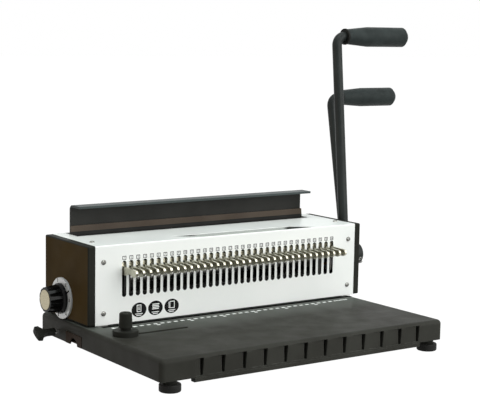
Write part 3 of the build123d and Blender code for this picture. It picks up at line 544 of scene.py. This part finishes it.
def carved(bm_whole, bm_cutter):
    # The first mesh less the second
    holders = []
    for bm in (bm_whole, bm_cutter):
        bmesh.ops.recalc_face_normals(bm, faces=bm.faces)
        mesh = bpy.data.meshes.new("carving")
        bm.to_mesh(mesh)
        bm.free()
        holder = bpy.data.objects.new("carving", mesh)
        bpy.context.scene.collection.objects.link(holder)
        holders.append(holder)
    whole, cutter = holders
    cut = whole.modifiers.new("cut", "BOOLEAN")
    cut.object = cutter
    cut.operation = "DIFFERENCE"
    cut.solver = "EXACT"
    ready = whole.evaluated_get(bpy.context.evaluated_depsgraph_get())
    result = bpy.data.meshes.new_from_object(ready)
    for holder in holders:
        mesh = holder.data
        bpy.data.objects.remove(holder)
        bpy.data.meshes.remove(mesh)
    return result


def add_copy(bm, mesh, spot):
    copy = mesh.copy()
    copy.transform(spot)
    bm.from_mesh(copy)
    bpy.data.meshes.remove(copy)


def lettering(bm, words, size, matrix, bolder):
    curve = bpy.data.curves.new("lettering", "FONT")
    curve.body = words
    curve.size = size * MM
    curve.align_x = "CENTER"
    curve.align_y = "CENTER"
    curve.extrude = ink_thick * MM / 2
    curve.offset = bolder * MM
    curve.resolution_u = 3
    holder = bpy.data.objects.new("lettering", curve)
    mesh = bpy.data.meshes.new_from_object(holder)
    mesh.transform(matrix)
    bm.from_mesh(mesh)
    bpy.data.objects.remove(holder)
    bpy.data.curves.remove(curve)
    bpy.data.meshes.remove(mesh)


# Ink is a thin plate that stands out of its surface by most of its thickness
ink_thick = 0.06
ink_out = ink_thick * 0.7
ink_deep = INTO * ink_thick * MM
ink_down = -UP * ink_thick * MM

# Numbered boxes over the slots
inch = 25.4
pitch = inch / 3
slot_count = 34
first_slot = -pitch * (slot_count - 1) / 2
box_z = 71.0
box_half_wide = 2.3
box_half_high = 2.15
box_line = 0.7
slot_number_size = 2.9
slot_number_bolder = 0.05
boxes = bmesh.new()
numbers = bmesh.new()
for i in range(slot_count):
    x = first_slot + pitch * i
    hollow_box(boxes, x, -ink_out, box_z, box_half_wide, box_half_high, box_line)
    spot = Matrix.Translation(place(x, 0, box_z)) @ Matrix.Rotation(math.radians(90), 4, "X")
    lettering(numbers, str(i + 1), slot_number_size, spot, slot_number_bolder)
new_piece("slot_number_boxes", boxes, ink_grey, "chassis")
new_piece("slot_numbers", numbers, ink_grey, "chassis")

# Three round black marks
mark_xs = [-121.3, -100.8, -80.3]
mark_z = 13.4
mark_half_wide = 9.2
mark_half_high = 7.9
marks = bmesh.new()
for x in mark_xs:
    outline = round_line(place(x, -ink_out, mark_z), mark_half_wide, mark_half_high, RIGHT, UP)
    plate(marks, outline, ink_deep)
new_piece("round_marks", marks, ink_black, "chassis")

# Their plain white pictures: a sheet, a stack and a bound book, each over two lines
picture_face = -ink_out - 0.04
picture_line = 0.8
page_rise = 1.6
page_half_high = 3.9
sheet_half_wide = 2.8
book_half_wide = 3.2
signs = bmesh.new()


def bar(x, rise, half_wide, half_high):
    corners = corners_of(half_wide, half_high)
    plate(signs, [place(x + a, picture_face, mark_z + rise + b) for a, b in corners], ink_deep)


def page(x, half_wide):
    hollow_box(signs, x, picture_face, mark_z + page_rise, half_wide, page_half_high, picture_line)


sheet_x, stack_x, book_x = mark_xs
page(sheet_x, sheet_half_wide)
for row in range(3):
    bar(sheet_x, rise=0.2 + 1.4 * row, half_wide=1.3, half_high=0.3)
for row in range(4):
    bar(stack_x + 0.5 * (row % 2), rise=-0.9 + 1.7 * row, half_wide=4.2, half_high=0.5)
page(book_x + 0.6, book_half_wide)
for row in range(5):
    bar(book_x - 3.1, rise=-1.2 + 1.4 * row, half_wide=1.1, half_high=0.32)
for x in mark_xs:
    bar(x, rise=-4.3, half_wide=4.6, half_high=0.4)
    bar(x, rise=-6.0, half_wide=3.2, half_high=0.4)
new_piece("round_mark_pictures", signs, ink_white, "chassis")

# White dashes along the table, with a tick at every fifth and closer dashes at the ends
dash_y = -16.2
dash_shift = 0.46
dash_half_wide = 2.25
dash_half_deep = 1.7
tick_every, tick_from = 5, 3
tick_y = -21.3
tick_shift = 0.8
tick_half_wide = 2.0
tick_half_deep = 1.5
end_pitch = 3.4
end_half_wide = 1.1
right_count = 6
right_shift = 0.3
right_stagger = 0.4
left_count = 3
left_out = 13.0
left_rise = 2.0
left_half_wide = end_half_wide * 1.5
left_half_deep = dash_half_deep * 1.3
dashes = bmesh.new()


def dash(x, y, half_wide, half_deep):
    corners = corners_of(half_wide, half_deep)
    plate(dashes, [place(x + a, y + b, ink_out) for a, b in corners], ink_down)


for i in range(slot_count - 2):
    x = first_slot + pitch * (i + dash_shift)
    dash(x, dash_y, dash_half_wide, dash_half_deep)
    if i % tick_every == tick_from:
        dash(x + tick_shift, tick_y, tick_half_wide, tick_half_deep)
for i in range(right_count):
    x = first_slot + pitch * (slot_count - 2 + right_shift) + end_pitch * i
    dash(x, dash_y + right_stagger * (i % 2), end_half_wide, dash_half_deep)
for i in range(left_count):
    dash(first_slot - left_out - end_pitch * i, dash_y + left_rise * i, left_half_wide, left_half_deep)
new_piece("table_dashes", dashes, ink_white, "chassis")

# Black strip along the foot of the panel, where the paper goes in: a sheet laid where the throat's shadow
# falls, a painted shadow
strip_front, strip_back = -6.5, -0.4
strip_half = 168.0
throat_shadow = bmesh.new()
strip_line = [
    (-strip_half, strip_front), (strip_half, strip_front),
    (strip_half, strip_back), (-strip_half, strip_back),
]
plate(throat_shadow, [place(x, y, ink_thick) for x, y in strip_line], ink_down)
new_piece("throat_shadow_strip", throat_shadow, black_ink_and_shade, "chassis")

# Domed screws with a cross recess, in the panel, the top and the back
head_r = 2.8
head_high = 1.7
head_sunk = 0.3
head_profile = [
    (0, -head_sunk), (head_r, -head_sunk), (head_r, 0.25), (head_r * 0.93, 0.8), (head_r * 0.74, 1.32),
    (head_r * 0.45, head_high - 0.08), (0, head_high),
]
head_whole = bmesh.new()
turn_shape(head_whole, head_profile, Matrix.Identity(4))
cross_long = 1.75
cross_half = 0.33
cross_deep = 0.95
cross_over = 1.0
cross_points = []
cross_arm = [(cross_half, cross_half), (cross_long, cross_half), (cross_long, -cross_half)]
for quarter in range(4):
    cross_points += cross_arm
    cross_arm = [(y, -x) for x, y in cross_arm]
cross = bmesh.new()
cross_top = [Vector((x, y, head_high + cross_over)) for x, y in cross_points]
plate(cross, cross_top, -UP * (cross_over + cross_deep))
head_mesh = carved(head_whole, cross)

screw_x = 164.6
panel_screw_zs = [13.7, 68.4]
top_screw_y = 25.3
front_heads = bmesh.new()
for sign in (-1, 1):
    for z in panel_screw_zs:
        add_copy(front_heads, head_mesh, facing(place(sign * screw_x, 0, z), -INTO))
    add_copy(front_heads, head_mesh, facing(place(sign * screw_x, top_screw_y, body_top), UP))
front_screws = new_piece("domed_screws", front_heads, bright, "chassis")
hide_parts("cover_screws")

body_back = high_of("rear_cover").y
rear_screw_xs = [-150.0, 0.0, 150.0]
rear_screw_zs = [14.0, 74.0]
rear_heads = bmesh.new()
for x in rear_screw_xs:
    for z in rear_screw_zs:
        add_copy(rear_heads, head_mesh, facing(place(x, body_back, z), INTO))
new_piece("rear_screws", rear_heads, bright, "chassis")
bpy.data.meshes.remove(head_mesh)

# Two set screws in the side of the punch hub, each with a round socket
hub_y = 36.3
hub_z = 42.8
hub_r = 13.0
set_screw_spots = ((204.6, -158.5), (208.8, -128.7))
set_profile = [
    (0, -1.6), (2.2, -1.6), (2.2, 0.12), (1.9, 0.3), (1.15, 0.3), (1.0, 0.1), (1.0, -1.0), (0, -1.0),
]
set_screws = bmesh.new()
for x, degrees in set_screw_spots:
    turn = math.radians(degrees)
    out = Vector((0, math.cos(turn), math.sin(turn)))
    spot = place(x, hub_y + hub_r * out.y, hub_z + hub_r * out.z)
    turn_shape(set_screws, set_profile, facing(spot, out), count=18)
new_piece("hub_set_screws", set_screws, bright, "punch_handle")

# Numbers and ticks on the size scale, and the knob's pointer
scale_face = low_of("size_scale").x
number_r = 19.5
scale_number_size = 4.6
scale_number_bolder = 0.28
scale_turns = [69.0, 125.0, 178.0, 232.0, 286.0, 340.0]
ticks_each = 5
ticks_turn = 54
tick_in = 21.0
tick_out = 22.0
tick_short = 0.4
tick_half = 0.16


def spoke(bm, turn, near, far, half, out, thick):
    # A thin bar on the scale, along its radius from near to far
    along = Vector((0, math.cos(turn), math.sin(turn)))
    side = Vector((0, -math.sin(turn), math.cos(turn))) * half
    centre = Vector((scale_face - out, dial_at.y, dial_at.z))
    corners = [
        centre + along * near - side, centre + along * far - side,
        centre + along * far + side, centre + along * near + side,
    ]
    plate(bm, [place(*corner) for corner in corners], RIGHT * thick * MM)


scale_ink = bmesh.new()
text_axes = Matrix(((0, 0, -1), (-1, 0, 0), (0, 1, 0))).to_4x4()
for i, degrees in enumerate(scale_turns):
    turn = math.radians(degrees)
    spot = place(scale_face, dial_at.y + number_r * math.cos(turn), dial_at.z + number_r * math.sin(turn))
    number_spot = Matrix.Translation(spot) @ text_axes
    lettering(scale_ink, str(i + 1), scale_number_size, number_spot, scale_number_bolder)
    for step in range(ticks_each):
        tick_turn = turn + math.radians(ticks_turn * step / ticks_each)
        tick_far = tick_out if step == 0 else tick_out - tick_short
        spoke(scale_ink, tick_turn, tick_in, tick_far, tick_half, ink_out, ink_thick)
new_piece("scale_numbers", scale_ink, black_ink_and_shade, "chassis")

pointer_turn = math.radians(150)
pointer_in = 10.0
pointer_far = 22.1
pointer_half = 0.8
pointer_out = 0.3
pointer_thick = 0.2
pointer = bmesh.new()
spoke(pointer, pointer_turn, pointer_in, pointer_far, pointer_half, pointer_out, pointer_thick)
new_piece("dial_pointer", pointer, black_ink_and_shade, "size_dial")

# Return springs: coils that the bar or the jaw comes down on, built in the boxes of the spring nodes
wire_r = 0.6
wire_sides = 10
steps_per_turn = 24


def coil(bm, centre, low, high, radius, turns):
    steps = round(turns * steps_per_turn)
    rings = []
    for i in range(steps + 1):
        turn = 2 * math.pi * turns * i / steps
        out = Vector((math.cos(turn), math.sin(turn), 0))
        height = low + wire_r + (high - low - 2 * wire_r) * i / steps
        ring = []
        for k in range(wire_sides):
            round_it = 2 * math.pi * k / wire_sides
            point = out * (radius + wire_r * math.cos(round_it))
            point += Vector((centre.x, centre.y, height + wire_r * math.sin(round_it)))
            ring.append(bm.verts.new(place(*point)))
        rings.append(ring)
    for first, second in zip(rings, rings[1:]):
        for k in range(wire_sides):
            after = (k + 1) % wire_sides
            bm.faces.new([first[k], first[after], second[after], second[k]])
    bm.faces.new(rings[0])
    bm.faces.new(rings[-1])


for node, joint, turns in (
    ("punch_springs", "punch_bar_slide", 3.5), ("closing_springs", "closing_jaw_slide", 6.0),
):
    low, high = low_of(node), high_of(node)
    coil_r = (high.y - low.y) / 2 - wire_r
    coils = bmesh.new()
    for x in (low.x + coil_r + wire_r, high.x - coil_r - wire_r):
        coil(coils, Vector((x, (low.y + high.y) / 2, 0)), low.z, high.z, coil_r, turns)
    piece = new_piece(node + "_coiled", coils, steel, "chassis")
    for polygon in piece.data.polygons:
        polygon.use_smooth = True
    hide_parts(node)
    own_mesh(piece)


# Floor and backdrop: white to the camera and in reflections, dimmer for the light itself
def seen_rays(shader_nodes, shader_links):
    # One for camera, glossy and transmission rays, and nought for the light itself
    rays = shader_nodes.new("ShaderNodeLightPath")
    total = rays.outputs["Is Camera Ray"]
    for kind in ("Is Glossy Ray", "Is Transmission Ray"):
        node = shader_nodes.new("ShaderNodeMath")
        node.operation = "MAXIMUM"
        shader_links.new(total, node.inputs[0])
        shader_links.new(rays.outputs[kind], node.inputs[1])
        total = node.outputs[0]
    return total


floor_half = 12.0
floor_grey = (0.28, 0.28, 0.27, 1)
floor_rough = 0.9
floor_white_share = 0.8
floor_white_level = 1.24
floor_mesh = bpy.data.meshes.new("floor")
floor_corners = [(x, y, 0) for x, y in corners_of(floor_half, floor_half)]
floor_mesh.from_pydata(floor_corners, [], [(0, 1, 2, 3)])
floor = bpy.data.objects.new("floor", floor_mesh)
bpy.context.scene.collection.objects.link(floor)
floor_material = bpy.data.materials.new("floor")
floor_material.use_nodes = True
floor_nodes = floor_material.node_tree.nodes
floor_links = floor_material.node_tree.links
floor_surface = floor_nodes["Principled BSDF"]
floor_surface.inputs["Base Color"].default_value = floor_grey
floor_surface.inputs["Roughness"].default_value = floor_rough
floor_white = floor_nodes.new("ShaderNodeEmission")
floor_white.inputs["Color"].default_value = (1, 1, 1, 1)
floor_white.inputs["Strength"].default_value = floor_white_level
floor_share = floor_nodes.new("ShaderNodeMath")
floor_share.operation = "MULTIPLY"
floor_share.inputs[1].default_value = floor_white_share
floor_links.new(seen_rays(floor_nodes, floor_links), floor_share.inputs[0])
floor_mix = floor_nodes.new("ShaderNodeMixShader")
floor_links.new(floor_share.outputs[0], floor_mix.inputs[0])
floor_links.new(floor_surface.outputs[0], floor_mix.inputs[1])
floor_links.new(floor_white.outputs[0], floor_mix.inputs[2])
floor_links.new(floor_mix.outputs[0], floor_nodes["Material Output"].inputs["Surface"])
floor_mesh.materials.append(floor_material)

soft_colour = (0.92, 0.97, 1.0, 1)
soft_level = 0.33
world = bpy.data.worlds.new("studio")
bpy.context.scene.world = world
world.use_nodes = True
world_nodes = world.node_tree.nodes
world_links = world.node_tree.links
soft = world_nodes["Background"]
soft.inputs["Color"].default_value = soft_colour
soft.inputs["Strength"].default_value = soft_level
shown_white = world_nodes.new("ShaderNodeBackground")
shown_white.inputs["Color"].default_value = (1, 1, 1, 1)
shown_white.inputs["Strength"].default_value = 1.0
world_mix = world_nodes.new("ShaderNodeMixShader")
world_links.new(seen_rays(world_nodes, world_links), world_mix.inputs[0])
world_links.new(soft.outputs[0], world_mix.inputs[1])
world_links.new(shown_white.outputs[0], world_mix.inputs[2])
world_links.new(world_mix.outputs[0], world_nodes["World Output"].inputs["Surface"])


# Lamps and camera: azimuth nought looks along +Y, and a negative one stands towards -X
def away_from(azimuth, elevation):
    a = math.radians(azimuth)
    e = math.radians(elevation)
    return Vector((math.sin(a) * math.cos(e), -math.cos(a) * math.cos(e), math.sin(e)))


lamps_aim = place(0, 0, 60)


def lamp(name, azimuth, elevation, distance, size, power, colour):
    # Distance and size are in metres, power in watts
    light = bpy.data.lights.new(name, "AREA")
    light.shape = "SQUARE"
    light.size = size
    light.energy = power
    light.color = colour
    holder = bpy.data.objects.new(name, light)
    away = away_from(azimuth, elevation)
    holder.location = lamps_aim + away * distance
    holder.rotation_euler = away.to_track_quat("Z", "Y").to_euler()
    bpy.context.scene.collection.objects.link(holder)


lamp("key", azimuth=25, elevation=24, distance=2.2, size=2.2, power=45, colour=(1.0, 1.0, 0.98))
lamp("top", azimuth=-10, elevation=80, distance=1.9, size=1.4, power=20, colour=(0.92, 1.0, 0.97))
lamp("warm_fill", azimuth=-100, elevation=8, distance=2.2, size=1.0, power=4.5, colour=(1.0, 0.72, 0.45))

camera_at = (-851.1, -1227.8, 314.0)
camera_azimuth = -34.98
camera_elevation = 7.648
camera_roll = math.radians(0.998)
camera_data = bpy.data.cameras.new("camera")
camera_data.sensor_width = 36.0
camera_data.lens = 102.0
camera_data.clip_end = 60.0
camera = bpy.data.objects.new("camera", camera_data)
bpy.context.scene.collection.objects.link(camera)
bpy.context.scene.camera = camera
back = away_from(camera_azimuth, camera_elevation)
level_right = (-back).cross(UP).normalized()
level_up = level_right.cross(-back)
camera_right = level_right * math.cos(camera_roll) + level_up * math.sin(camera_roll)
camera_up = level_up * math.cos(camera_roll) - level_right * math.sin(camera_roll)
turned = Matrix((camera_right, camera_up, back)).transposed()
camera.matrix_world = Matrix.Translation(place(*camera_at)) @ turned.to_4x4()

view = bpy.context.scene.view_settings
view.view_transform = "Standard"
